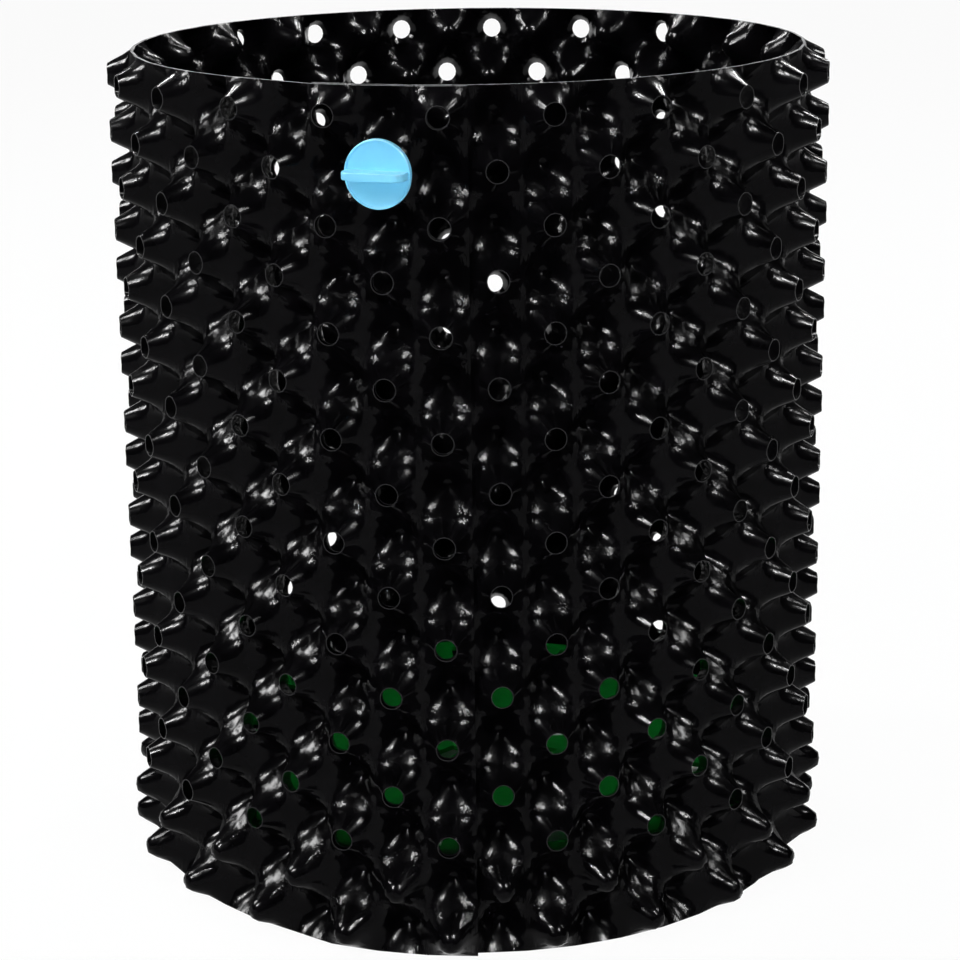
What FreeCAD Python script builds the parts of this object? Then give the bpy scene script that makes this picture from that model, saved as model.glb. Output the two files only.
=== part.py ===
import FreeCAD, Part
import Sketcher
import functools
import math
import os

# An air pruning pot: a rolled wall of open and closed cones, a perforated base disc laid inside it,
# and one screw that holds the wall's lap. Millimetres, Z up, origin at the middle of the pot's foot.

V = FreeCAD.Vector
UP = V(0, 0, 1)

SIZES = [
    ("wall_radius", 139.2, "from the pot's axis to the middle of the flat sheet"),
    ("cones_around", 22, "outward cones in one row"),
    ("cone_rows", 17, "rows of cones from foot to rim"),
    ("row_pitch", 20.5, "height of one row"),
    ("sheet_thick", 1.0, "thickness of the moulded sheet"),
    ("open_reach", 10.8, "mid sheet to the cut end of an open cone"),
    ("open_tip", 4.8, "half the width of its hole, where the drawn sheet thins out to its cut edge"),
    ("closed_rows", 2, "lowest rows, whose outward cones stay closed"),
    ("closed_reach", 13.8, "mid sheet to the top of a closed outward cone"),
    ("closed_tip", 3.4, "half the width of its flat top"),
    ("pit_reach", 11.2, "mid sheet to the end of an inward cone"),
    ("pit_tip", 4.5, "half the height of that end, which is a short upright ridge"),
    ("lap_strips", 3, "strips of the sheet that lie double at the lap"),
    ("lap_gap", 0.25, "free space between the two layers of the lap, across a cone's side"),
    ("lap_angle", -12.48, "degrees round the pot from its front to the middle of the lap"),
    ("screw_row", 2, "row of the screw, counted from the rim"),
    ("screw_gap", 0.6, "between the screw's shank and the hole of an open cone"),
    ("seat_gap", 0.1, "between the screw's head and the cone that it sits on"),
    ("head_radius", 13.0, "round head of the screw"),
    ("head_thick", 2.0, "its thickness inside the lip"),
    ("lip_height", 0.6, "raised edge of the head"),
    ("lip_width", 0.8, "width of that edge"),
    ("grip_length", 23.5, "finger grip across the head"),
    ("grip_height", 10.0, "how far the grip stands off the head"),
    ("grip_thick", 3.0, "thickness of the grip"),
    ("shank_past", 7.0, "how far the shank reaches beyond the inner layer's cone end"),
    ("shank_chamfer", 1.5, "lead-in at the shank's end"),
    ("grip_corner", 4.0, "rounding of the grip's outer corners"),
    ("grip_side", 1.0, "least straight length of the grip's ends, whatever the rounding"),
    ("base_bite", 2.0, "how far the base disc reaches over the ends of the inward cones"),
    ("base_row", 2, "row of inward cones that the base disc lies on, counted from the foot"),
    ("base_gap", 0.3, "between the base disc and the cones that carry it"),
    ("base_thick", 2.0, "thickness of the base disc"),
    ("base_rim_width", 8.0, "unbroken band at the disc's edge"),
    ("hub_radius", 15.0, "unbroken middle of the disc"),
    ("drain_radius", 5.0, "round hole in the middle of the disc"),
    ("slot_rings", 2, "rings of slots in the disc"),
    ("slots_inside", 8, "slots in the inmost ring"),
    ("slots_more", 20, "slots that each ring has more than the one inside it"),
    ("rib_width", 58.0, "band between two rings of slots"),
    ("slot_share", 0.45, "part of a ring's length that is open"),
]

doc = FreeCAD.newDocument("air_pruning_pot")
sheet = doc.addObject("Spreadsheet::Sheet", "Sizes")
for number, (alias, value, meaning) in enumerate(SIZES, start=1):
    sheet.set(f"A{number}", meaning)
    sheet.set(f"B{number}", str(value))
    sheet.setAlias(f"B{number}", alias)
doc.recompute()


def size(alias):
    return float(getattr(sheet, alias))


# What follows from the sizes, as formulas that the sheet can work out and that features can be bound to
CELL_F = "min(2 * Sizes.wall_radius * tan(90 deg / Sizes.cones_around); Sizes.row_pitch)"
SLOPE_F = f"(({CELL_F} / 2 - Sizes.open_tip) / Sizes.open_reach)"
SLANT_F = f"sqrt(1 + {SLOPE_F} ^ 2)"
LIFT_F = f"((Sizes.sheet_thick + Sizes.lap_gap) * {SLANT_F} / {SLOPE_F})"
BASE_R_F = "(Sizes.wall_radius - Sizes.pit_reach + Sizes.base_bite)"
SLOT_STEP_F = f"(({BASE_R_F} - Sizes.base_rim_width - Sizes.hub_radius + Sizes.rib_width) / Sizes.slot_rings)"
SHANK_F = f"({LIFT_F} + Sizes.seat_gap + Sizes.shank_past)"
SHANK_R_F = "(Sizes.open_tip - Sizes.screw_gap)"


def value(formula):
    return float(sheet.evalExpression(formula))


STRIPS = 2 * round(size("cones_around"))
ROWS = round(size("cone_rows"))
LAP = round(size("lap_strips"))
TURN = 2 * math.pi / STRIPS
LAP_ANGLE = math.radians(size("lap_angle"))
THICK = size("sheet_thick")
WALL_R = size("wall_radius")
PITCH = size("row_pitch")
HEIGHT = ROWS * PITCH
CELL = value(CELL_F)
SLOPE = value(SLOPE_F)
SLANT = value(SLANT_F)
HALF = THICK / 2 * SLANT / SLOPE
LIFT = value(LIFT_F)
PIT_RISE = (PITCH / 2 - size("pit_tip")) / (size("pit_reach") - HALF)
TIP_SIDES = 6
SCREW_STRIP = LAP // 2
SCREW_ROW = ROWS - round(size("screw_row"))


# The wall: strips, one for each column of cones, that follow each other round the pot. The sheet is
# longer than the pot is round, so its last strips lie over its first ones, lifted just enough to nest.
# Outward and inward cones take turns along a strip and from strip to strip, so that the foot of every
# cone is a square cell of the sheet, and neighbouring cones share its sides. There are some eight hundred
# of them, so each has few and flat sides.
@functools.cache
def boundary_point(k):
    """Where strips k - 1 and k meet, in the middle of the sheet."""
    lift = LIFT if k >= STRIPS else 0.0
    reach = (WALL_R + lift) / math.cos(TURN / 2)
    angle = LAP_ANGLE + (k - SCREW_STRIP - 0.5) * TURN
    return V(reach * math.sin(angle), -reach * math.cos(angle), 0)


@functools.cache
def strip_along(k):
    return (boundary_point(k + 1) - boundary_point(k)).normalize()


@functools.cache
def strip_out(k):
    return strip_along(k).cross(UP)


@functools.cache
def mitre(k):
    """Way from the mid surface to the sheet's outer face at boundary k, for 1 mm of distance."""
    first = strip_out(max(k - 1, 0))
    second = strip_out(min(k, STRIPS + LAP - 1))
    middle = (first + second).normalize()
    return middle / middle.dot(second)


def edge_point(k, side, z):
    """A point where strips k - 1 and k meet, on the outer (1) or inner (-1) face of the sheet."""
    return boundary_point(k) + mitre(k) * (side * HALF) + UP * z


def polygon(corners):
    return Part.Face(Part.makePolygon(corners + corners[:1]))


def foot(k, row, side):
    """The square foot of a cone, anticlockwise seen from outside, from its upper right corner."""
    low, high = row * PITCH, (row + 1) * PITCH
    return [
        edge_point(k + 1, side, high),
        edge_point(k, side, high),
        edge_point(k, side, low),
        edge_point(k + 1, side, low),
    ]


def middle_point(k, row, reach):
    """A point on the axis of a cone."""
    middle = (boundary_point(k) + boundary_point(k + 1)) * 0.5
    return middle + strip_out(k) * reach + UP * ((row + 0.5) * PITCH)


def tip(k, row, reach, half):
    """The six-sided outline that stands for a cone's round end, of this half width and at this reach."""
    middle = middle_point(k, row, reach)
    corner = half / math.cos(math.pi / TIP_SIDES)
    points = []
    for i in range(1, TIP_SIDES + 1):
        angle = 2 * math.pi * i / TIP_SIDES
        points.append(middle + strip_along(k) * (corner * math.cos(angle)) + UP * (corner * math.sin(angle)))
    return points


def skirt(square, end):
    """Flat faces from a square foot to a six-sided end: one above, one below, and three on either side."""
    upper_right, upper_left, lower_left, lower_right = square
    return [
        polygon([upper_right, upper_left, end[1], end[0]]),
        polygon([upper_left, end[2], end[1]]),
        polygon([upper_left, lower_left, end[2]]),
        polygon([lower_left, end[3], end[2]]),
        polygon([lower_left, lower_right, end[4], end[3]]),
        polygon([lower_right, end[5], end[4]]),
        polygon([lower_right, upper_right, end[5]]),
        polygon([upper_right, end[0], end[5]]),
    ]


def open_cone(k, row):
    """A cone that the sheet rises into, cut off so that air gets in; both sides end at the sharp cut."""
    hole = tip(k, row, size("open_reach"), size("open_tip"))
    return skirt(foot(k, row, 1), hole) + skirt(foot(k, row, -1), hole)


def closed_cone(k, row):
    """An outward cone of the lowest rows, which keeps its blunt end: both sides."""
    faces = []
    for side, less in ((1, 0.0), (-1, THICK)):
        end = tip(k, row, size("closed_reach") - less, size("closed_tip") - less / 2)
        faces += skirt(foot(k, row, side), end) + [polygon(end)]
    return faces


def pit(k, row):
    """A closed cone that the sheet sinks into, towards the soil: both sides, each with four flanks."""
    less = THICK * math.hypot(1, 2 * size("pit_reach") / CELL)
    shorter = THICK * math.hypot(1, PIT_RISE) - less * PIT_RISE
    soil_side = wedge(k, row, -1, size("pit_reach"), size("pit_tip"))
    air_side = wedge(k, row, 1, size("pit_reach") - less, size("pit_tip") - shorter)
    return soil_side + air_side


def wedge(k, row, side, depth, half):
    """One side of an inward cone, from its square foot to an upright ridge."""
    upper_right, upper_left, lower_left, lower_right = foot(k, row, side)
    top = middle_point(k, row, -depth) + UP * half
    bottom = middle_point(k, row, -depth) - UP * half
    return [
        polygon([upper_right, upper_left, top]),
        polygon([upper_left, lower_left, bottom, top]),
        polygon([lower_left, lower_right, bottom]),
        polygon([lower_right, upper_right, top, bottom]),
    ]


def cell_faces(k, row):
    if (k - SCREW_STRIP + row - SCREW_ROW) % 2:
        return pit(k, row)
    if row < round(size("closed_rows")):
        return closed_cone(k, row)
    return open_cone(k, row)


def rim_face(z):
    """The cut edge of the whole sheet, at the foot or at the rim."""
    last = STRIPS + LAP
    outside = [edge_point(k, 1, z) for k in range(last + 1)]
    inside = [edge_point(k, -1, z) for k in range(last, -1, -1)]
    return polygon(outside + inside)


def end_face(k, row):
    """A row's length of the upright edge where the sheet starts or stops."""
    low, high = row * PITCH, (row + 1) * PITCH
    return polygon([edge_point(k, 1, low), edge_point(k, -1, low), edge_point(k, -1, high), edge_point(k, 1, high)])


def sewn(faces):
    """Faces joined along the edges that they share."""
    shell = Part.makeCompound(faces)
    shell.sewShape()
    return shell


def wall_shape():
    """The sheet's cells, sewn to strips and the strips to one closed shell."""
    strips = [sewn(sum((cell_faces(k, row) for row in range(ROWS)), [])) for k in range(STRIPS + LAP)]
    ends = [end_face(k, row) for k in (0, STRIPS + LAP) for row in range(ROWS)]
    shell = sewn(strips + ends + [rim_face(0), rim_face(HEIGHT)])
    solid = Part.Solid(shell.Shells[0])
    if solid.Volume < 0:
        solid.reverse()
    return solid


wall = doc.addObject("Part::Feature", "wall")
wall.Label = "wall"
wall.Shape = wall_shape()


# Helpers for bodies, sketches and what is made from them
def new_body(label):
    body = doc.addObject("PartDesign::Body", label)
    body.Label = label
    return body


def origin_feature(body, role):
    return next(f for f in body.Origin.OriginFeatures if f.Role == role)


def outline_sketch(body, name, points):
    """A closed outline of straight lines in the body's XZ plane, through points given by two formulas each."""
    sketch = body.newObject("Sketcher::SketchObject", name)
    sketch.AttachmentSupport = [(origin_feature(body, "XZ_Plane"), "")]
    sketch.MapMode = "FlatFace"
    places = [V(value(across), value(up), 0) for across, up in points]
    lines = [
        sketch.addGeometry(Part.LineSegment(places[i - 1], places[i]))
        for i in range(len(points))
    ]
    for i, (across, up) in enumerate(points):
        after = (i + 1) % len(points)
        sketch.addConstraint(Sketcher.Constraint("Coincident", lines[i], 2, lines[after], 1))
        for word, kind, formula, axis in (("across", "DistanceX", across, -2), ("up", "DistanceY", up, -1)):
            if formula == "0":
                sketch.addConstraint(Sketcher.Constraint("PointOnObject", lines[i], 2, axis))
                continue
            index = sketch.addConstraint(
                Sketcher.Constraint(kind, -1, 1, lines[i], 2, value(formula))
            )
            sketch.renameConstraint(index, f"{word}_{i}")
            sketch.setExpression(f"Constraints.{word}_{i}", formula)
    return sketch


def turn_about_z(body, kind, name, sketch, angle="360"):
    feature = body.newObject(f"PartDesign::{kind}", name)
    feature.Profile = sketch
    feature.ReferenceAxis = (sketch, ["V_Axis"])
    feature.setExpression("Angle", angle)
    return feature


# The base: a disc that lies on a row of inward cones, with rings of slots for water and air
base = new_body("base_disc")
disc_profile = outline_sketch(base, "disc_profile", [
    ("Sizes.drain_radius", "0"),
    (BASE_R_F, "0"),
    (BASE_R_F, "Sizes.base_thick"),
    ("Sizes.drain_radius", "Sizes.base_thick"),
])
turn_about_z(base, "Revolution", "disc", disc_profile)
doc.recompute()

for ring in range(round(size("slot_rings"))):
    inner = f"(Sizes.hub_radius + {ring} * {SLOT_STEP_F})"
    outer = f"({inner} + {SLOT_STEP_F} - Sizes.rib_width)"
    count = f"(Sizes.slots_inside + {ring} * Sizes.slots_more)"
    slot_profile = outline_sketch(base, f"slot_profile_{ring}", [
        (inner, "0"),
        (outer, "0"),
        (outer, "Sizes.base_thick"),
        (inner, "Sizes.base_thick"),
    ])
    slot = turn_about_z(base, "Groove", f"slot_{ring}", slot_profile, f"360 * Sizes.slot_share / {count}")
    slots = base.newObject("PartDesign::PolarPattern", f"slots_{ring}")
    slots.Originals = [slot]
    slots.Axis = (origin_feature(base, "Z_Axis"), [""])
    slots.Angle = 360
    slots.setExpression("Occurrences", count)
    base.Tip = slots
    doc.recompute()

carrier_top = (size("base_row") - 0.5) * PITCH + size("pit_tip") + size("base_bite") * PIT_RISE
base.Placement = FreeCAD.Placement(V(0, 0, carrier_top + size("base_gap")), FreeCAD.Rotation())

# The screw that holds the lap: a shank through both layers, and a round head with a lip and a finger grip.
# It is drawn standing on the end of its shank.
HEAD_TOP_F = f"({SHANK_F} + Sizes.head_thick)"
LIP_TOP_F = f"({HEAD_TOP_F} + Sizes.lip_height)"
LIP_R_F = "(Sizes.head_radius - Sizes.lip_width)"

screw = new_body("lap_screw")
screw_profile = outline_sketch(screw, "screw_profile", [
    ("0", "0"),
    (f"({SHANK_R_F} - Sizes.shank_chamfer)", "0"),
    (SHANK_R_F, "Sizes.shank_chamfer"),
    (SHANK_R_F, SHANK_F),
    ("Sizes.head_radius", SHANK_F),
    ("Sizes.head_radius", LIP_TOP_F),
    (LIP_R_F, LIP_TOP_F),
    (LIP_R_F, HEAD_TOP_F),
    ("0", HEAD_TOP_F),
])
turn_about_z(screw, "Revolution", "turned_part", screw_profile)
doc.recompute()

grip = screw.newObject("PartDesign::AdditiveBox", "grip")
grip.setExpression("Length", "Sizes.grip_length")
grip.setExpression("Width", "Sizes.grip_thick")
grip.setExpression("Height", "Sizes.grip_height")
grip.setExpression(".Placement.Base.x", "-Sizes.grip_length / 2")
grip.setExpression(".Placement.Base.y", "-Sizes.grip_thick / 2")
grip.setExpression(".Placement.Base.z", HEAD_TOP_F)
doc.recompute()


grip_end = value(HEAD_TOP_F) + size("grip_height")
NEAR = 0.01
corner_edges = [
    f"Edge{i}"
    for i, edge in enumerate(grip.Shape.Edges, start=1)
    if edge.BoundBox.XLength < NEAR and edge.BoundBox.ZMin > grip_end - NEAR
]
corners = screw.newObject("PartDesign::Fillet", "grip_corners")
corners.Base = (grip, corner_edges)
corners.setExpression("Radius", "min(Sizes.grip_corner; Sizes.grip_height - Sizes.grip_side)")

screw_strip = STRIPS + SCREW_STRIP
along, out = strip_along(screw_strip), strip_out(screw_strip)
foot_of_shank = (boundary_point(SCREW_STRIP) + boundary_point(SCREW_STRIP + 1)) * 0.5
foot_of_shank += out * (size("open_reach") - size("shank_past")) + UP * ((SCREW_ROW + 0.5) * PITCH)
screw.Placement = FreeCAD.Placement(FreeCAD.Matrix(
    along.x, UP.x, out.x, foot_of_shank.x,
    along.y, UP.y, out.y, foot_of_shank.y,
    along.z, UP.z, out.z, foot_of_shank.z,
    0, 0, 0, 1,
))
doc.recompute()

# Every object and every piece is checked before anything is written
for item in doc.Objects:
    if "Invalid" in item.State or "Error" in item.State:
        raise RuntimeError(f"{item.Label} failed: {item.State}")

os.makedirs("parts", exist_ok=True)
for piece in (wall, base, screw):
    shape = piece.Shape
    if shape.isNull() or not shape.isValid() or len(shape.Solids) != 1:
        raise RuntimeError(f"{piece.Label} is not one valid solid")
    print(f"{piece.Label}: {shape.Volume / 1000:.1f} cm3, {len(shape.Faces)} faces")
    shape.exportStep(f"parts/{piece.Label}.step")
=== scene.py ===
# %% [markdown]
# # An air pruning pot
# This pot is a sheet of black plastic, pressed into an egg crate of cones and rolled into a tube. The
# cones that point outwards are cut open, so roots that grow into them meet air and stop, except in the two
# lowest rows, where they stay closed. A green slotted disc lies inside as the base, and a blue screw holds
# the lap of the sheet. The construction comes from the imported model, and this script gives every piece its
# finished shape and surface.

# %% Load the frame
import math

import bmesh
import bpy
import numpy as np
from mathutils import Matrix, Vector


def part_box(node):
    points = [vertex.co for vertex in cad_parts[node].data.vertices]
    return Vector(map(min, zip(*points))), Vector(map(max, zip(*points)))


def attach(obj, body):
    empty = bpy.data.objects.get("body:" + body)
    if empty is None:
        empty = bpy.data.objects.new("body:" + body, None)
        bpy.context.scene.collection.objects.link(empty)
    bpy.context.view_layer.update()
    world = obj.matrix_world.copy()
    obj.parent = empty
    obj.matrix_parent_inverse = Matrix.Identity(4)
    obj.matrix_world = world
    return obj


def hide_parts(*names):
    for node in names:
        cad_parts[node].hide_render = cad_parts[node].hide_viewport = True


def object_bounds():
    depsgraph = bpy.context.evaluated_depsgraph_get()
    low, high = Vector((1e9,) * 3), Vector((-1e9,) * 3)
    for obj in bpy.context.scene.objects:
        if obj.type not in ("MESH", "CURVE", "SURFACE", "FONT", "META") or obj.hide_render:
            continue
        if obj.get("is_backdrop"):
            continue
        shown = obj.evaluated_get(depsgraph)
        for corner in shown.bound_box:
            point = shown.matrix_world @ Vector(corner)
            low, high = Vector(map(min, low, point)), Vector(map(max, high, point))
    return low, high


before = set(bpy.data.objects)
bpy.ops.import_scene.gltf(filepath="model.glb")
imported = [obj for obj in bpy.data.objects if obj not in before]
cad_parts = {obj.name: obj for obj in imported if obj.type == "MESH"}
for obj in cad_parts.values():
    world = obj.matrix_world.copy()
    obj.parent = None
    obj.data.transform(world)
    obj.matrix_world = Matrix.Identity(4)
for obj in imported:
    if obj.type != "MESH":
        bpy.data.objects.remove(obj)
cad_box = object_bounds()
print("pieces of the packed model:", sorted(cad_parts))

# %% [markdown]
# ## Sizes of the sheet
# The real sheet is pressed flat and rolled afterwards, so its pattern is easiest to describe on strips:
# one strip for each upright column of cones. Even strips carry an outward cone where odd ones carry an
# inward one, and the next row up is the other way round. All lengths are in metres.

# %% Sizes of the sheet
MM = 0.001
STRIPS = 44
LAP_STRIPS = 3
ROWS = 17
CLOSED_ROWS = 2
WALL_RADIUS = 139.2 * MM
SHEET = 1.0 * MM
OPEN_REACH = 10.8 * MM
OPEN_RADIUS = 4.3 * MM
CUT_SHARE = 0.3
PIT_DEPTH = 11.5 * MM
FOOT_SLOPE = 1.15
PIT_STEEPENING = 0.6
PIT_ROUNDING = 2.5 * MM
CLOSED_REACH = 13.3 * MM
CLOSED_ROUNDING = 3.0 * MM
LAP_LIFT = 2.9 * MM
LAP_ANGLE = math.radians(-12.48)
MERGE_GRID = 0.001 * MM
TOUCH = 0.01 * MM

wall_low, wall_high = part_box("wall")
ROW_HEIGHT = (wall_high.z - wall_low.z) / ROWS
TURN = 2 * math.pi / STRIPS
HALF_CELL = WALL_RADIUS * math.tan(TURN / 2)
print(f"a cell is {2000 * HALF_CELL:.1f} mm wide and {1000 * ROW_HEIGHT:.1f} mm high")


def boundary_point(k):
    """Where strips k - 1 and k of the rolled sheet meet; the last strips lie over the first ones."""
    lift = LAP_LIFT if k >= STRIPS else 0.0
    reach = (WALL_RADIUS + lift) / math.cos(TURN / 2)
    angle = LAP_ANGLE + (k - LAP_STRIPS // 2 - 0.5) * TURN
    return np.array([reach * math.sin(angle), -reach * math.cos(angle), 0.0])


# %% [markdown]
# ## The shape of one cone
# Seen from the front, a cone's foot is a square cell, while its end is round. The product of two cosines
# does that change by itself: its level lines are circles in the middle of the cell and squares at its
# edge, and it runs smoothly on into the next cell, where the cone points the other way. Turned into a
# distance, it gives straight flanks and a soft saddle at every corner where four cones meet.

# %% The shape of one cone
def soft_min(a, b, rounding):
    """The smaller of two heights, with a rounded passage from one to the other."""
    return (a + b - np.sqrt((a - b) ** 2 + rounding**2)) / 2


def cell_distance(x, z):
    """0 in the middle of a cell and 1 on its edge; x and z run from -1 to 1."""
    return 2 / math.pi * np.arccos(np.clip(np.cos(math.pi * x / 2) * np.cos(math.pi * z / 2), 0, 1))


def flank(rho, steepening):
    """Height of a cone's flank, which leaves the foot at FOOT_SLOPE and gets steeper towards the end."""
    return HALF_CELL * (FOOT_SLOPE * (1 - rho) + steepening * (1 - rho) ** 2)


def rounded(rho, steepening, height, rounding):
    """Height of a cone with a rounded end."""
    return soft_min(flank(rho, steepening), height, rounding) - soft_min(0.0, height, rounding)


REACHED = 1 - OPEN_RADIUS / HALF_CELL
OPEN_STEEPENING = (OPEN_REACH / HALF_CELL - FOOT_SLOPE * REACHED) / REACHED**2
PROFILES = {
    "open": lambda rho: flank(rho, OPEN_STEEPENING),
    "closed": lambda rho: rounded(rho, OPEN_STEEPENING, CLOSED_REACH, CLOSED_ROUNDING),
    "pit": lambda rho: -rounded(rho, PIT_STEEPENING, PIT_DEPTH, PIT_ROUNDING),
}
SLOPE_STEP = 1e-4


def slope(profile, x, z):
    """Rise of a cone along x and along z, for 1 m of way on the sheet."""
    def height(a, b):
        return profile(cell_distance(a, b))

    along = (height(x + SLOPE_STEP, z) - height(x - SLOPE_STEP, z)) / (2 * SLOPE_STEP * HALF_CELL)
    up = (height(x, z + SLOPE_STEP) - height(x, z - SLOPE_STEP)) / (2 * SLOPE_STEP * HALF_CELL)
    return along, up


for kind, profile in PROFILES.items():
    print(f"height in the middle of a cell, {kind}: {1000 * profile(0.0):.1f} mm")


# %% [markdown]
# ## A cell as a small net
# Each cell gets its points in rings of sixteen, from the cone's end out to the square edge, because rings
# follow the round cut edge far better than a plain grid would. The same net is used for every cone of a
# kind, and numpy places all the points of a copy at once.

# %% A cell as a small net
AROUND = 16


def cell_net(kind, steps):
    """Points (x, z, height, slope along, slope up, stretch) of one cell, and its quads and triangles."""
    angles = 2 * math.pi * np.arange(AROUND) / AROUND
    edge = 1 / np.maximum(np.abs(np.cos(angles)), np.abs(np.sin(angles)))
    start = OPEN_RADIUS / HALF_CELL if kind == "open" else 0.0
    shares = steps if kind == "open" else steps[1:]
    x = np.concatenate([(start + (edge - start) * share) * np.cos(angles) for share in shares])
    z = np.concatenate([(start + (edge - start) * share) * np.sin(angles) for share in shares])
    quads = []
    for ring in range(len(shares) - 1):
        for i in range(AROUND):
            j = (i + 1) % AROUND
            inner, outer = ring * AROUND, (ring + 1) * AROUND
            quads.append((inner + i, outer + i, outer + j, inner + j))
    triangles = []
    if kind != "open":
        x, z = np.append(x, 0.0), np.append(z, 0.0)
        triangles = [(len(x) - 1, i, (i + 1) % AROUND) for i in range(AROUND)]
    profile = PROFILES[kind]
    along, up = slope(profile, x, z)
    points = np.stack([x, z, profile(cell_distance(x, z)), along, up, (x * z) ** 2], axis=1)
    return points, np.array(quads), np.array(triangles).reshape(-1, 3)


# %% [markdown]
# ## Both sides of the sheet
# A thin sheet needs two sides and the cut edges between them. The outer side gets more rings than the
# inner one, because it is the side that shows. Where cells meet, their points are merged and their
# directions are averaged, and each point then moves half the sheet's thickness out or in.

# %% Place the cells
def cell_kind(k, row):
    """Inward and outward cones take turns along the strips and up the rows; the lowest stay closed."""
    if (k - LAP_STRIPS // 2 + row - (ROWS - 2)) % 2:
        return "pit"
    return "closed" if row < CLOSED_ROWS else "open"


def sheet_side(steps, side):
    """Points of one side of the sheet, its faces, each point's stretch, and the points in mid-sheet."""
    nets = {kind: cell_net(kind, share) for kind, share in steps.items()}
    places, ways, faces, stretch = [], [], [], []
    count = 0
    for k in range(STRIPS + LAP_STRIPS):
        left, right = boundary_point(k), boundary_point(k + 1)
        half = np.linalg.norm(right - left) / 2
        along = (right - left) / (2 * half)
        out = np.array([along[1], -along[0], 0.0])
        up = np.array([0.0, 0.0, 1.0])
        for row in range(ROWS):
            kind = cell_kind(k, row)
            points, quads, triangles = nets[kind]
            centre = (left + right) / 2 + up * (row + 0.5) * ROW_HEIGHT
            x, z, height, slope_x, slope_z = points.T[:5, :, None]
            places.append(centre + along * x * half + up * z * ROW_HEIGHT / 2 + out * height)
            way = out - along * slope_x - up * slope_z
            way /= np.linalg.norm(way, axis=1, keepdims=True)
            if kind == "open":
                # Round a hole both sides end in the plane of the cut, nearer together than elsewhere.
                flat = way[:AROUND] - out * (way[:AROUND] @ out)[:, None]
                way[:AROUND] = flat / (flat**2).sum(axis=1, keepdims=True) * CUT_SHARE
            ways.append(way)
            stretch.append(points[:, 5])
            faces += [tuple(f) for f in quads + count] + [tuple(f) for f in triangles + count]
            count += len(points)
    places, ways, stretch = np.concatenate(places), np.concatenate(ways), np.concatenate(stretch)
    keys = np.round(places / MERGE_GRID).astype(np.int64)
    _, first, same = np.unique(keys, axis=0, return_index=True, return_inverse=True)
    same = same.ravel()
    merged = np.zeros((len(first), 3))
    np.add.at(merged, same, ways)
    merged /= np.bincount(same)[:, None]
    places, stretch = places[first], stretch[first]
    merged = square_off(places, merged)
    points = places + merged * (side * SHEET / 2)
    order = 1 if side > 0 else -1
    return points, [tuple(same[list(f)])[::order] for f in faces], stretch, places


# %% [markdown]
# At the four borders of the sheet the averages lean to one side, because a cell lies on one side only.
# They are turned back into the plane of the cut, so that the rim, the foot and both ends are cut square.

# %% Square borders
LEAST_AVERAGE = 0.5


def near_border(points, k):
    """Indices of the points on the upright line where the sheet starts or stops."""
    border = boundary_point(k)
    return np.flatnonzero(np.linalg.norm(points[:, :2] - border[:2], axis=1) < TOUCH)


def square_off(places, ways):
    """Keeps the directions at the sheet's four borders in the plane of the cut.

    Directions that lost a little length as they were averaged get it back. Those round the holes are far
    shorter on purpose, so that the sheet thins out there to a narrow cut edge, and they stay as they are.
    """
    ways = ways.copy()
    top = ROWS * ROW_HEIGHT
    cut = (places[:, 2] < TOUCH) | (places[:, 2] > top - TOUCH)
    ways[cut, 2] = 0.0
    for k in (0, STRIPS + LAP_STRIPS):
        border = boundary_point(k)
        beside = boundary_point(k + 1 if k == 0 else k - 1)
        along = (beside - border) / np.linalg.norm(beside - border)
        on_edge = np.zeros(len(places), bool)
        on_edge[near_border(places, k)] = True
        ways[on_edge] -= along * (ways[on_edge] @ along)[:, None]
        cut |= on_edge
    lengths = np.linalg.norm(ways, axis=1, keepdims=True)
    ways[cut] /= lengths[cut] ** 2
    averaged = ~cut & (lengths[:, 0] > LEAST_AVERAGE)
    ways[averaged] /= lengths[averaged]
    return ways


# %% [markdown]
# The steps say where the rings of a net lie, from 0 at the cone's end to 1 at the edge of its cell. They
# stand closer where the shape bends most.

# %% Make both sides
OUTER_STEPS = {
    "open": [0.0, 0.22, 0.5, 0.76, 1.0],
    "closed": [0.0, 0.24, 0.42, 0.7, 1.0],
    "pit": [0.0, 0.26, 0.5, 0.75, 1.0],
}
INNER_STEPS = {
    "open": [0.0, 0.5, 1.0],
    "closed": [0.0, 0.4, 1.0],
    "pit": [0.0, 0.3, 0.6, 1.0],
}
outer_points, outer_faces, outer_stretch, outer_middle = sheet_side(OUTER_STEPS, 1)
inner_points, inner_faces, inner_stretch, inner_middle = sheet_side(INNER_STEPS, -1)
print(f"outer side {len(outer_faces)} faces, inner side {len(inner_faces)} faces")

# %% [markdown]
# ## One closed mesh
# The cut edges close the sheet: a ring at each open cone, a long strip along the rim and the foot, and
# one along each end of the sheet. They are faces of their own, with sharp borders, and those round the
# holes and along the rim and the foot are duller, because cut plastic is never as glossy as pressed
# plastic; the two ends keep the gloss black.

# %% Close the sheet
def border_edges(faces):
    """Edges that only one face uses, in the direction of that face."""
    used = {(f[i], f[(i + 1) % len(f)]) for f in faces for i in range(len(f))}
    return [(a, b) for a, b in used if (b, a) not in used]


# The rim and the foot get the slot with the painted highlight, a pale grey for the light on their edges.
OWN_FINISH, HOLE_FINISH, RIM_PAINTED_HIGHLIGHT = 0, 1, 2


def edge_finish(face, ends):
    """Which finish a cut face has: at the sheet's ends, round a hole, or the painted highlight of rim and
    foot.
    """
    first, last = face[0], face[3]
    if first in ends and last in ends:
        return OWN_FINISH
    low, high = sorted(outer_middle[[first, last], 2])
    on_rim_or_foot = high < TOUCH or low > ROWS * ROW_HEIGHT - TOUCH
    return RIM_PAINTED_HIGHLIGHT if on_rim_or_foot else HOLE_FINISH


# %% [markdown]
# Both sides and the cut faces go into one mesh. Its three material slots are the three finishes, and each
# point keeps a number, stretch, which the black finish reads later.

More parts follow.
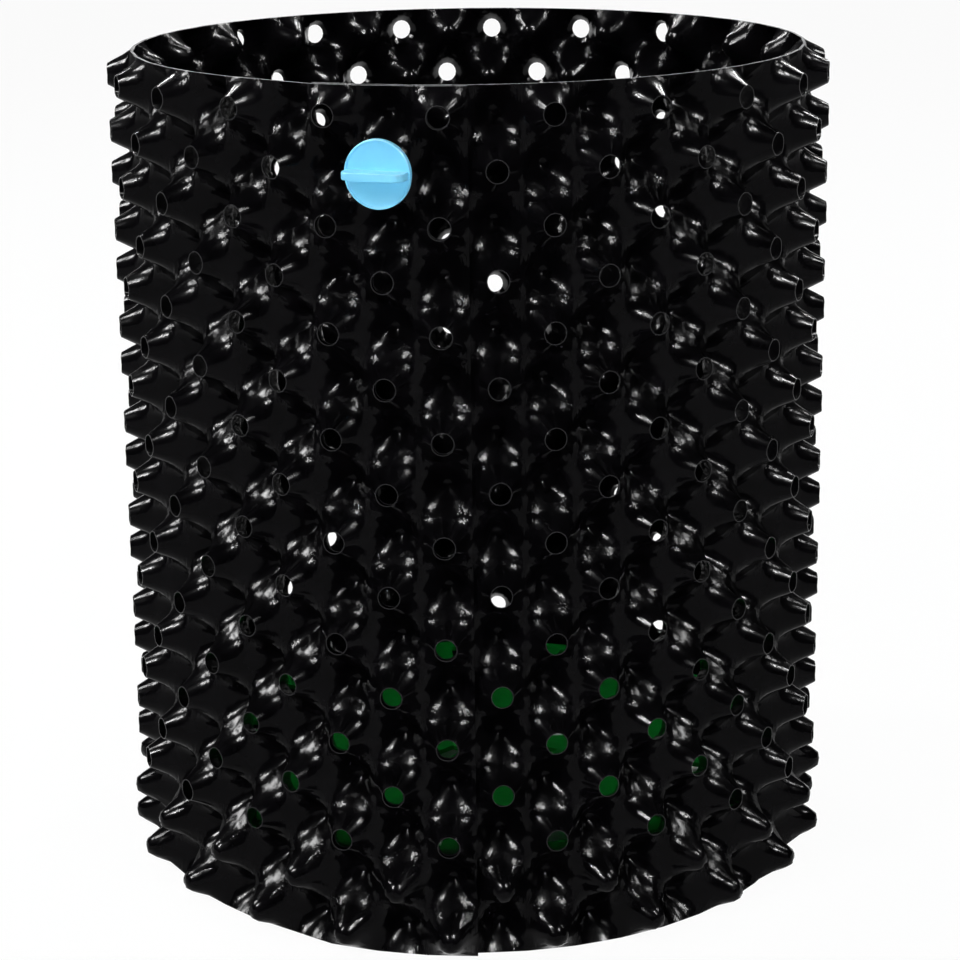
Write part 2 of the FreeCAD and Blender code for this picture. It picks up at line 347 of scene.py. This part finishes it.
# %% Make the mesh
def make_sheet(name):
    """The closed sheet as an object, with its finishes and sharp cut edges marked."""
    shift = len(outer_points)
    key_of = {tuple(k): i for i, k in enumerate(np.round(inner_middle / MERGE_GRID).astype(np.int64))}
    twin = {}
    for i, k in enumerate(np.round(outer_middle / MERGE_GRID).astype(np.int64)):
        j = key_of.get(tuple(k))
        if j is not None:
            twin[i] = shift + j
    edges = border_edges(outer_faces)
    cut = [(a, twin[a], twin[b], b) for a, b in edges]
    faces = outer_faces + [tuple(shift + i for i in f) for f in inner_faces] + cut
    mesh = bpy.data.meshes.new(name)
    mesh.from_pydata(np.concatenate([outer_points, inner_points]).tolist(), [], faces)
    mesh.validate()
    mesh.update()
    sheet = bpy.data.objects.new(name, mesh)
    bpy.context.scene.collection.objects.link(sheet)
    mesh.polygons.foreach_set("use_smooth", [True] * len(mesh.polygons))
    first_cut = len(outer_faces) + len(inner_faces)
    finish = np.zeros(len(mesh.polygons), np.int32)
    ends = {corner for k in (0, STRIPS + LAP_STRIPS) for corner in near_border(outer_middle, k)}
    finish[first_cut:] = [edge_finish(f, ends) for f in cut]
    mesh.polygons.foreach_set("material_index", finish)
    stretch = mesh.attributes.new("stretch", "FLOAT", "POINT")
    stretch.data.foreach_set("value", np.concatenate([outer_stretch, inner_stretch]).astype(np.float32))
    sharp = {tuple(sorted(e)) for f in cut for e in ((f[0], f[3]), (f[1], f[2]))}
    for edge in mesh.edges:
        if tuple(sorted(edge.vertices)) in sharp:
            edge.use_edge_sharp = True
    return sheet


pot_wall = make_sheet("pot_wall")
triangles = sum(len(p.vertices) - 2 for p in pot_wall.data.polygons)
open_edges = border_edges([tuple(p.vertices) for p in pot_wall.data.polygons])
print(f"pot_wall has {triangles} triangles and {len(open_edges)} open edges")

# %% [markdown]
# ## Black gloss plastic
# Pressed black plastic is nearly black in itself, and all that the eye sees are reflections. Its surface
# isn't a mirror: the press leaves faint waves where the sheet was stretched into the cones, and these
# break the lamps' reflections into small soft spots. So the colour stays plain, and the work is in the
# roughness and in a fine bump.

# %% Material helpers
NOISE_RANGE = (0.3, 0.7)
TONE_RANGE = (0.35, 0.65)
TONE_PATTERN = 60
GLOSS_PATTERN = 140
SWELL_PATTERN, SWELL_STRETCH = 160, (1, 1, 0.45)
GRAIN_PATTERN = 2600


def new_material(name):
    """A material with its node tree's nodes and links."""
    material = bpy.data.materials.new(name)
    material.use_nodes = True
    return material, material.node_tree.nodes, material.node_tree.links


def noise(nodes, links, scale, detail, stretch=(1, 1, 1)):
    """A noise texture in object space, fixed to the piece at its real size; scale counts per metre."""
    place = nodes.new("ShaderNodeTexCoord")
    squeeze = nodes.new("ShaderNodeMapping")
    squeeze.inputs["Scale"].default_value = stretch
    texture = nodes.new("ShaderNodeTexNoise")
    texture.inputs["Scale"].default_value = scale
    texture.inputs["Detail"].default_value = detail
    links.new(place.outputs["Object"], squeeze.inputs["Vector"])
    links.new(squeeze.outputs["Vector"], texture.inputs["Vector"])
    return texture.outputs["Fac"]


def spread(nodes, links, source, low, high):
    """Maps the middle of a noise to the range from low to high."""
    remap = nodes.new("ShaderNodeMapRange")
    remap.inputs["From Min"].default_value, remap.inputs["From Max"].default_value = NOISE_RANGE
    remap.inputs["To Min"].default_value = low
    remap.inputs["To Max"].default_value = high
    links.new(source, remap.inputs["Value"])
    return remap.outputs["Result"]


def tint(nodes, links, source, dark, light):
    """A colour that wanders between two near tones of the plastic."""
    ramp = nodes.new("ShaderNodeValToRGB")
    ramp.color_ramp.elements[0].position, ramp.color_ramp.elements[1].position = TONE_RANGE
    ramp.color_ramp.elements[0].color = (*dark, 1)
    ramp.color_ramp.elements[1].color = (*light, 1)
    links.new(source, ramp.inputs["Fac"])
    return ramp.outputs["Color"]


def bump(nodes, links, source, distance, below=None):
    """A relief as high as distance where the source is 1, on top of the relief below it."""
    relief = nodes.new("ShaderNodeBump")
    relief.inputs["Distance"].default_value = distance
    relief.inputs["Strength"].default_value = 1.0
    links.new(source, relief.inputs["Height"])
    if below is not None:
        links.new(below, relief.inputs["Normal"])
    return relief.outputs["Normal"]


def combine(nodes, links, operation, first, second):
    """The result of one operation on two sockets' numbers."""
    node = nodes.new("ShaderNodeMath")
    node.operation = operation
    links.new(first, node.inputs[0])
    links.new(second, node.inputs[1])
    return node.outputs["Value"]


# %% [markdown]
# Moulded plastic of any colour is built alike, from large patterns to small ones: blotches of two near
# tones, patches of more and less gloss, long shallow swells, and a fine grain.

# %% Moulded plastic
def plastic(name, dark, light, smooth, dull, specular, grain, wave):
    """Moulded plastic between two tones and two roughnesses; grain and wave are heights of relief."""
    material, nodes, links = new_material(name)
    shader = nodes["Principled BSDF"]
    shader.inputs["Specular IOR Level"].default_value = specular
    blotches = noise(nodes, links, TONE_PATTERN, 4)
    links.new(tint(nodes, links, blotches, dark, light), shader.inputs["Base Color"])
    patches = noise(nodes, links, GLOSS_PATTERN, 3)
    links.new(spread(nodes, links, patches, smooth, dull), shader.inputs["Roughness"])
    swells = bump(nodes, links, noise(nodes, links, SWELL_PATTERN, 1, SWELL_STRETCH), wave)
    fine = bump(nodes, links, noise(nodes, links, GRAIN_PATTERN, 2), grain, swells)
    links.new(fine, shader.inputs["Normal"])
    return material


# %% [markdown]
# ## Three finishes for the sheet
# The pressed faces are gloss black, with shallow waves all over and fine upright wrinkles at the saddles,
# where the sheet was stretched most. The cut rings are a little duller, and the rim and the foot are
# painted pale grey, a painted highlight for the light that their edges catch.

# %% Finishes of the sheet
BLACK_SPECULAR = 0.05
BLACK_ROUGHNESS = (0.13, 0.18)
BLACK_TONES = ((0.0010, 0.0009, 0.0012), (0.0019, 0.0017, 0.0022))
BLACK_PATCHES = 120
WAVES, WAVE_PATTERN, WAVE_STRETCH = 0.05 * MM, 150, (1, 1, 0.5)
WRINKLES, WRINKLE_PATTERN, WRINKLE_STRETCH = 0.7 * MM, 900, (1, 1, 0.16)


def pressed_black(name):
    """Gloss black, with shallow waves, and wrinkles as strong as the points' stretch."""
    material, nodes, links = new_material(name)
    shader = nodes["Principled BSDF"]
    shader.inputs["Specular IOR Level"].default_value = BLACK_SPECULAR
    blotches = noise(nodes, links, TONE_PATTERN, 4)
    links.new(tint(nodes, links, blotches, *BLACK_TONES), shader.inputs["Base Color"])
    patches = noise(nodes, links, BLACK_PATCHES, 3)
    links.new(spread(nodes, links, patches, *BLACK_ROUGHNESS), shader.inputs["Roughness"])
    waves = bump(nodes, links, noise(nodes, links, WAVE_PATTERN, 1, WAVE_STRETCH), WAVES)
    stretch = nodes.new("ShaderNodeAttribute")
    stretch.attribute_name = "stretch"
    creases = noise(nodes, links, WRINKLE_PATTERN, 2, WRINKLE_STRETCH)
    stretched = combine(nodes, links, "MULTIPLY", creases, stretch.outputs["Fac"])
    wrinkles = bump(nodes, links, stretched, WRINKLES, waves)
    links.new(wrinkles, shader.inputs["Normal"])
    return material


# %% Finish of the wall
black_gloss = pressed_black("black_gloss")
cut_edge = plastic(
    "cut_edge", (0.005, 0.005, 0.006), (0.009, 0.009, 0.010),
    smooth=0.18, dull=0.28, specular=0.22, grain=0.02 * MM, wave=0.05 * MM,
)
# The rim and the foot are painted pale grey: a painted highlight for the light line along the sheet's top
# and bottom edges.
rim_painted_highlight = plastic(
    "rim_painted_highlight", (0.16, 0.16, 0.165), (0.24, 0.24, 0.245),
    smooth=0.35, dull=0.45, specular=0.12, grain=0.01 * MM, wave=0.05 * MM,
)
for finish in (black_gloss, cut_edge, rim_painted_highlight):
    pot_wall.data.materials.append(finish)
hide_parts("wall")
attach(pot_wall, "root")
print("finishes of the wall:", [finish.name for finish in pot_wall.data.materials])

# %% [markdown]
# ## The base disc
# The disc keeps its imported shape. It is seen through the lower holes and from above, as a plain green
# moulding, so its finish is a clear green with a satin gloss.

# %% Finish of the base disc
green_plastic = plastic(
    "green_plastic", (0.0015, 0.165, 0.016), (0.0024, 0.21, 0.022),
    smooth=0.40, dull=0.55, specular=0.06, grain=0.01 * MM, wave=0.05 * MM,
)
base_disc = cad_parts["base_disc"]
base_disc.data.materials.clear()
base_disc.data.materials.append(green_plastic)
print("the base disc keeps its packed shape of", len(base_disc.data.polygons), "faces")

# %% [markdown]
# ## The screw of the lap
# The screw is turned by hand: a round head with a small raised lip, a grip across it, and a shank with a
# coarse thread that goes through two cone ends. The head and the shank can be one outline turned round
# the screw's axis, and the grip is a slab of its own.

# %% Sizes of the screw
SCREW_STRIP = STRIPS + LAP_STRIPS // 2
SCREW_ROW = ROWS - 2
HEAD_RADIUS = 13.0 * MM
HEAD_THICK = 2.0 * MM
LIP_HEIGHT = 0.6 * MM
LIP_WIDTH = 0.8 * MM
GRIP_LENGTH = 24.5 * MM
GRIP_HEIGHT = 8.4 * MM
GRIP_THICK = 3.0 * MM
GRIP_CORNER = 4.0 * MM
GRIP_SOFT = 0.5 * MM
GRIP_SINK = 0.5 * MM
SEAT_GAP = 0.7 * MM
HEAD_TILT = math.radians(-7)
SHANK_RADIUS = 3.4 * MM
BEHIND_LAP = 7.0 * MM
SHANK_LENGTH = LAP_LIFT + SEAT_GAP + BEHIND_LAP
THREAD_DEPTH = 0.8 * MM
THREAD_PITCH = 3.2 * MM
THREAD_ROWS = 72
THREAD_END = 1.2 * MM
LEAD_IN = 1.5 * MM
LEAD_SLOPE = 0.8
SHANK_START = 0.3 * MM
THREAD_CREST = 0.5
CREST_FLATNESS = 1.6
HEAD_SEGMENTS = 96
SHARP_FROM = math.radians(40)
print(f"the shank is {1000 * SHANK_LENGTH:.1f} mm long, through two layers of the sheet")

# %% [markdown]
# A lathe turns an outline of radius and height round the axis. Here the radius may also rise and fall
# with the angle, which is all that a thread is.

# %% Lathe and arc
def lathe(bm, outline, segments, relief):
    """Turns an outline of (radius, height) round Z, with a relief that depends on angle and height."""
    rows = []
    for radius, height in outline:
        if radius == 0:
            rows.append([bm.verts.new((0, 0, height))])
            continue
        row = []
        for i in range(segments):
            angle = 2 * math.pi * i / segments
            r = radius + relief(angle, height)
            row.append(bm.verts.new((r * math.cos(angle), r * math.sin(angle), height)))
        rows.append(row)
    for lower, upper in zip(rows, rows[1:]):
        for i in range(segments):
            j = (i + 1) % segments
            below = [lower[i % len(lower)], lower[j % len(lower)]]
            above = [upper[j % len(upper)], upper[i % len(upper)]]
            bm.faces.new(list(dict.fromkeys(below + above)))


def arc(centre, radius, start, stop, count):
    """Points on an arc in the outline's plane, angles in degrees."""
    turns = np.radians(np.linspace(start, stop, count))
    return [(centre[0] + radius * math.cos(t), centre[1] + radius * math.sin(t)) for t in turns]


# %% [markdown]
# The screw's own height runs from the shank's end to the grip. Small arcs on the lip and at the head's
# underside catch the light as a moulded edge does.

# %% The screw's head and shank
SOFT = 0.35 * MM
LIP_EASE = 0.05 * MM
LIP_FOOT = 0.3 * MM
head_top = SHANK_LENGTH + HEAD_THICK
lip_top = head_top + LIP_HEIGHT


def thread(angle, height):
    """How far the shank's surface lies below the crest of the thread; above the thread it is plain."""
    if height > SHANK_LENGTH - THREAD_END:
        return 0.0
    phase = (height / THREAD_PITCH - angle / (2 * math.pi)) % 1.0
    crest = max(0.0, 1 - abs(phase - 0.5) * 2 / THREAD_CREST)
    return -THREAD_DEPTH * (1 - min(1.0, CREST_FLATNESS * crest))


def shank_outline():
    """The shank's end, which narrows a little, and its side in many rows for the thread."""
    tip = [(0, 0), (SHANK_RADIUS - LEAD_IN, 0)]
    heights = np.linspace(SHANK_START, SHANK_LENGTH - TOUCH, THREAD_ROWS)
    side = [(SHANK_RADIUS - max(0.0, LEAD_IN - z) * LEAD_SLOPE, z) for z in heights]
    return tip + side


head_outline = (
    [(SHANK_RADIUS, SHANK_LENGTH)]
    + arc((HEAD_RADIUS - SOFT, SHANK_LENGTH + SOFT), SOFT, -90, 0, 5)
    + arc((HEAD_RADIUS - SOFT, lip_top - SOFT), SOFT, 0, 90, 5)
    + arc((HEAD_RADIUS - LIP_WIDTH + SOFT / 2, lip_top - SOFT / 2), SOFT / 2, 90, 180, 4)
    + [(HEAD_RADIUS - LIP_WIDTH - LIP_EASE, head_top + LIP_EASE)]
    + [(HEAD_RADIUS - LIP_WIDTH - LIP_FOOT, head_top), (0, head_top)]
)
bm = bmesh.new()
lathe(bm, shank_outline() + head_outline, HEAD_SEGMENTS, thread)
print(f"the screw's turned part has {len(bm.faces)} faces")

# %% [markdown]
# The grip is a slab with two rounded outer corners, drawn as an outline and given its thickness. A bevel
# softens the long edges all along the outline, on both faces.

# %% The screw's grip
def grip_outline():
    """The grip seen from the side, from a foot a little inside the head to two rounded corners."""
    half, top = GRIP_LENGTH / 2, head_top + GRIP_HEIGHT
    foot = head_top - GRIP_SINK
    right = arc((half - GRIP_CORNER, top - GRIP_CORNER), GRIP_CORNER, 0, 90, 9)
    left = arc((GRIP_CORNER - half, top - GRIP_CORNER), GRIP_CORNER, 90, 180, 9)
    return [(-half, foot), (half, foot)] + right + left


grip = bmesh.new()
front = [grip.verts.new((x, -GRIP_THICK / 2, z)) for x, z in grip_outline()]
back = [grip.verts.new((x, GRIP_THICK / 2, z)) for x, z in grip_outline()]
grip.faces.new(front)
grip.faces.new(back[::-1])
for i in range(len(front)):
    j = (i + 1) % len(front)
    grip.faces.new((front[j], front[i], back[i], back[j]))
long_edges = [e for e in grip.edges if abs(e.verts[0].co.y - e.verts[1].co.y) < TOUCH]
bmesh.ops.bevel(grip, geom=long_edges, offset=GRIP_SOFT, segments=3, profile=0.5, affect="EDGES")
grip_mesh = bpy.data.meshes.new("grip")
grip.to_mesh(grip_mesh)
bm.from_mesh(grip_mesh)
bmesh.ops.recalc_face_normals(bm, faces=bm.faces)
screw_mesh = bpy.data.meshes.new("twist_screw")
bm.to_mesh(screw_mesh)
twist_screw = bpy.data.objects.new("twist_screw", screw_mesh)
bpy.context.scene.collection.objects.link(twist_screw)
screw_mesh.polygons.foreach_set("use_smooth", [True] * len(screw_mesh.polygons))
screw_mesh.set_sharp_from_angle(angle=SHARP_FROM)
print(f"the whole screw has {len(screw_mesh.polygons)} faces")

# %% [markdown]
# The screw sits a little askew in its two cone ends, turned to the left, as the photograph shows.

# %% Put the screw in the lap
left, right = boundary_point(SCREW_STRIP), boundary_point(SCREW_STRIP + 1)
along = Vector(right - left).normalized()
up = Vector((0, 0, 1))
out = along.cross(up)
seat = Vector((left + right) / 2) + up * (SCREW_ROW + 0.5) * ROW_HEIGHT + out * (OPEN_REACH + SEAT_GAP)
tilt = Matrix.Rotation(HEAD_TILT, 3, "Z")
along, out = tilt @ along, tilt @ out
origin = seat - out * SHANK_LENGTH
screw_mesh.transform(Matrix((
    (along.x, up.x, out.x, origin.x),
    (along.y, up.y, out.y, origin.y),
    (along.z, up.z, out.z, origin.z),
    (0, 0, 0, 1),
)))
blue_plastic = plastic(
    "blue_plastic", (0.150, 0.520, 0.760), (0.165, 0.550, 0.800),
    smooth=0.34, dull=0.46, specular=0.2, grain=0.006 * MM, wave=0.02 * MM,
)
screw_mesh.materials.append(blue_plastic)
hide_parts("lap_screw")
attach(twist_screw, "root")

# %% [markdown]
# ## Floor and light
# The floor is pale and very large, so that it fills the picture in every view.

# %% Floor
FLOOR_RADIUS = 12.0
bm = bmesh.new()
bmesh.ops.create_circle(bm, cap_ends=True, segments=96, radius=FLOOR_RADIUS)
floor_mesh = bpy.data.meshes.new("floor")
bm.to_mesh(floor_mesh)
floor = bpy.data.objects.new("floor", floor_mesh)
bpy.context.scene.collection.objects.link(floor)
floor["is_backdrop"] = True
print(f"the floor reaches {FLOOR_RADIUS:.0f} m from the pot")

# %% [markdown]
# The camera and the glossy plastic see the floor nearly white, and a part of its real shading stays, so
# the pot keeps a soft shadow. Inside the foot it is shaded in full, because the slots of the base disc
# look down on floor that no lamp reaches.

# %% Paint of the floor
FLOOR_TONE = 0.82
FLOOR_WHITE = 0.955
FOOT_FADE = 3 * MM


def seen_directly(nodes, links, share):
    """A number that is share for rays from the camera, from gloss and through glass, and 0 for light."""
    path = nodes.new("ShaderNodeLightPath").outputs
    either = combine(nodes, links, "MAXIMUM", path["Is Camera Ray"], path["Is Glossy Ray"])
    any_of = combine(nodes, links, "MAXIMUM", either, path["Is Transmission Ray"])
    part = nodes.new("ShaderNodeMath")
    part.operation = "MULTIPLY"
    links.new(any_of, part.inputs[0])
    part.inputs[1].default_value = share
    return part.outputs["Value"]


def outside_foot(nodes, links):
    """1 on the open floor and 0 under the pot."""
    place = nodes.new("ShaderNodeTexCoord")
    reach = nodes.new("ShaderNodeVectorMath")
    reach.operation = "LENGTH"
    links.new(place.outputs["Object"], reach.inputs[0])
    fade = nodes.new("ShaderNodeMapRange")
    fade.inputs["From Min"].default_value = WALL_RADIUS - FOOT_FADE
    fade.inputs["From Max"].default_value = WALL_RADIUS
    links.new(reach.outputs["Value"], fade.inputs["Value"])
    return fade.outputs["Result"]


floor_paint, nodes, links = new_material("floor_paint")
shaded = nodes["Principled BSDF"]
shaded.inputs["Base Color"].default_value = (FLOOR_TONE, FLOOR_TONE, FLOOR_TONE, 1)
shaded.inputs["Roughness"].default_value = 0.9
shaded.inputs["Specular IOR Level"].default_value = 0.0
white = nodes.new("ShaderNodeEmission")
white.inputs["Strength"].default_value = 1.0
seen_white = seen_directly(nodes, links, FLOOR_WHITE)
open_floor = combine(nodes, links, "MULTIPLY", seen_white, outside_foot(nodes, links))
blend = nodes.new("ShaderNodeMixShader")
links.new(open_floor, blend.inputs["Fac"])
links.new(shaded.outputs["BSDF"], blend.inputs[1])
links.new(white.outputs["Emission"], blend.inputs[2])
links.new(blend.outputs["Shader"], nodes["Material Output"].inputs["Surface"])
floor_mesh.materials.append(floor_paint)

# %% [markdown]
# The studio above the floor is dim, with a pale band at the horizon. Black plastic mirrors what is round
# it, so a dim studio keeps it black.

# %% Studio
PALE_BAND_TOP = 0.01
DIM_ABOVE = 0.05
DIM_STUDIO = (0.02, 0.02, 0.022, 1)
world = bpy.data.worlds.new("studio")
bpy.context.scene.world = world
world.use_nodes = True
nodes, links = world.node_tree.nodes, world.node_tree.links
direction = nodes.new("ShaderNodeTexCoord")
split = nodes.new("ShaderNodeSeparateXYZ")
links.new(direction.outputs["Generated"], split.inputs["Vector"])
height = nodes.new("ShaderNodeValToRGB")
height.color_ramp.elements[0].position = PALE_BAND_TOP
height.color_ramp.elements[0].color = (1.0, 1.0, 1.0, 1)
height.color_ramp.elements[1].position = DIM_ABOVE
height.color_ramp.elements[1].color = DIM_STUDIO
links.new(split.outputs["Z"], height.inputs["Fac"])
links.new(height.outputs["Color"], nodes["Background"].inputs["Color"])
nodes["Background"].inputs["Strength"].default_value = 1.0

# %% [markdown]
# The lamps do two jobs, as in a real studio: soft ones light the colours at a plain level, and tall bright
# ones are there for the reflections alone, so that each cone gets its small bright spots. They stand all
# round the pot, because it is looked at from every side.

# %% Lamps
AIM = Vector((0, 0, 0.19))
LAMP_DISTANCE = 2.2
SOFT_LAMP_SIZE = 0.42


def lamp(name, azimuth, elevation, size, watts):
    """A round soft lamp; azimuth 0 stands in front of the pot, and 90 to its right."""
    a, e = math.radians(azimuth), math.radians(elevation)
    back = Vector((math.sin(a) * math.cos(e), -math.cos(a) * math.cos(e), math.sin(e)))
    data = bpy.data.lights.new(name, "AREA")
    data.shape = "DISK"
    data.size = size
    data.energy = watts
    light = bpy.data.objects.new(name, data)
    bpy.context.scene.collection.objects.link(light)
    light.location = AIM + back * LAMP_DISTANCE
    light.rotation_mode = "QUATERNION"
    light.rotation_quaternion = back.to_track_quat("Z", "Y")
    return light


def colour_lamp(name, azimuth, elevation, watts):
    """A soft lamp that lights the colours and leaves no reflection."""
    light = lamp(name, azimuth, elevation, SOFT_LAMP_SIZE, watts)
    light.visible_glossy = False


def gloss_lamp(name, azimuth, elevation, width, height, brightness):
    """A tall lamp that only shows in reflections; its brightness is counted in plain whites."""
    light = lamp(name, azimuth, elevation, width, brightness * math.pi * width * height)
    light.data.shape = "RECTANGLE"
    light.data.size_y = height
    light.visible_diffuse = False


colour_lamp("lamp_front", 0, 12, 17)
colour_lamp("lamp_left", -44, 40, 16)
colour_lamp("lamp_right", 40, 44, 8)
colour_lamp("lamp_side_left", -100, 36, 24)
colour_lamp("lamp_side_right", 98, 40, 4)
colour_lamp("lamp_back_left", -150, 42, 12)
colour_lamp("lamp_back_right", 145, 40, 12)
colour_lamp("lamp_above", 0, 82, 11)
gloss_lamp("gloss_left", -44, 40, 0.25, 0.56, 950)
gloss_lamp("gloss_right", 40, 44, 0.25, 0.54, 900)
gloss_lamp("gloss_side_left", -100, 36, 0.55, 0.80, 130)
gloss_lamp("gloss_side_right", 98, 40, 0.40, 0.60, 110)
gloss_lamp("gloss_back_left", -150, 42, 0.34, 0.50, 200)
gloss_lamp("gloss_back_right", 145, 40, 0.34, 0.50, 200)

# %% [markdown]
# ## Camera
# The pot is seen from a little above its rim, with a long lens, so its rim shows as a flat ellipse and
# the far wall shows over the near one. The place and the angles come from a fit to where the holes of the
# pot stand in the photograph.

# %% Camera
IMAGE_SIDE = 960
FOCAL_PIXELS = 2660
AXIS_PIXEL = 473.6
SENSOR = 36.0
CAMERA_PLACE = (0, -1.1189, 0.474)
PITCH = 0.275
ROLL = -0.0124
camera_data = bpy.data.cameras.new("camera")
camera_data.sensor_width = SENSOR
camera_data.lens = FOCAL_PIXELS / IMAGE_SIDE * SENSOR
camera_data.shift_x = (IMAGE_SIDE / 2 - AXIS_PIXEL) / IMAGE_SIDE
camera_data.clip_start = 0.05
camera_data.clip_end = 60
camera = bpy.data.objects.new("camera", camera_data)
bpy.context.scene.collection.objects.link(camera)
camera.matrix_world = (
    Matrix.Translation(CAMERA_PLACE)
    @ Matrix.Rotation(math.pi / 2 - PITCH, 4, "X")
    @ Matrix.Rotation(ROLL, 4, "Z")
)
bpy.context.scene.camera = camera
bpy.context.scene.view_settings.view_transform = "Standard"
print(f"a lens of {camera_data.lens:.0f} mm looks down by {math.degrees(PITCH):.1f} degrees")

final_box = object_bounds()
sizes = {
    "packed": [list(corner) for corner in cad_box],
    "finished": [list(corner) for corner in final_box],
}
for name, (low, high) in sizes.items():
    print(name, [round(1000 * (b - a), 1) for a, b in zip(low, high)], "mm")
